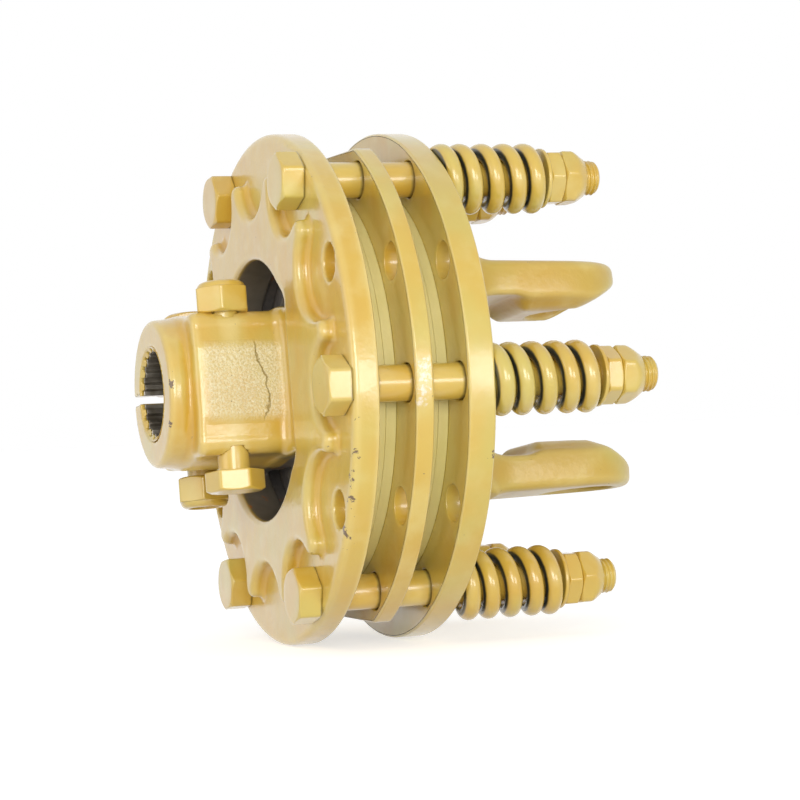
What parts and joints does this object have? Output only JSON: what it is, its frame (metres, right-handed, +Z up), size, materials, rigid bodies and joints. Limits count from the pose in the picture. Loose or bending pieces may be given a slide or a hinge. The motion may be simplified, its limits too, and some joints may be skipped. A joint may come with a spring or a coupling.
{
  "type": "torque limiter",
  "caption": "Friction torque limiter for a driveshaft: clamp hub with splined bore, plates pressed by coil springs on long bolts, and a yoke for a cross joint.",
  "frame": {"origin": "centre of the mouth of the splined bore, on the axis of rotation", "axes": "+X along the axis of rotation from the hub towards the yoke, +Z up as in the picture, spring bolts on both sides of the Y axis"},
  "size_m": [0.1992, 0.2074, 0.2],
  "materials": {
    "forging_paint": "thick glossy ochre paint on a forging, worn at edges",
    "plate_paint": "glossy ochre paint on flat steel, scratched on the rims",
    "fastener_paint": "glossy ochre paint over zinc, chipped at the corners",
    "spring_paint": "glossy ochre paint, dark between the coils",
    "drive_plate": "greenish overspray on bare steel",
    "lining": "dark friction lining",
    "bronze": "plain bearing bronze"
  },
  "bodies": {
    "hub": {"clamp_hub": "forging_paint", "flange": "forging_paint", "middle_plate": "plate_paint", "spring_bolt_1": "fastener_paint", "spring_bolt_2": "fastener_paint", "spring_bolt_3": "fastener_paint", "spring_bolt_4": "fastener_paint", "spring_bolt_5": "fastener_paint", "spring_bolt_6": "fastener_paint", "spring_1": "spring_paint", "spring_2": "spring_paint", "spring_3": "spring_paint", "spring_4": "spring_paint", "spring_5": "spring_paint", "spring_6": "spring_paint", "washer_1": "fastener_paint", "washer_2": "fastener_paint", "washer_3": "fastener_paint", "washer_4": "fastener_paint", "washer_5": "fastener_paint", "washer_6": "fastener_paint", "nut_1": "fastener_paint", "nut_2": "fastener_paint", "nut_3": "fastener_paint", "nut_4": "fastener_paint", "nut_5": "fastener_paint", "nut_6": "fastener_paint", "jam_nut_1": "fastener_paint", "jam_nut_2": "fastener_paint", "jam_nut_3": "fastener_paint", "jam_nut_4": "fastener_paint", "jam_nut_5": "fastener_paint", "jam_nut_6": "fastener_paint", "clamp_bolt_near": "fastener_paint", "clamp_bolt_far": "fastener_paint", "clamp_nut_near": "fastener_paint", "clamp_nut_far": "fastener_paint"},
    "pressure": {"pressure_plate": "plate_paint"},
    "output": {"yoke": "forging_paint", "bush": "bronze", "drive_plate_1": "drive_plate", "drive_plate_2": "drive_plate", "friction_disc_1": "lining", "friction_disc_2": "lining", "friction_disc_3": "lining", "friction_disc_4": "lining"}
  },
  "joints": [
    {"name": "slip", "type": "hinge", "parent": "hub", "child": "output", "pos_m": [0, 0, 0], "axis": [1, 0, 0], "continuous": true},
    {"name": "plate_lift", "type": "slide", "parent": "hub", "child": "pressure", "axis": [1, 0, 0], "range_m": [0, 0.0025], "stiffness_N_per_m": 20000, "deforming": ["spring_1", "spring_2", "spring_3", "spring_4", "spring_5", "spring_6"]}
  ]
}
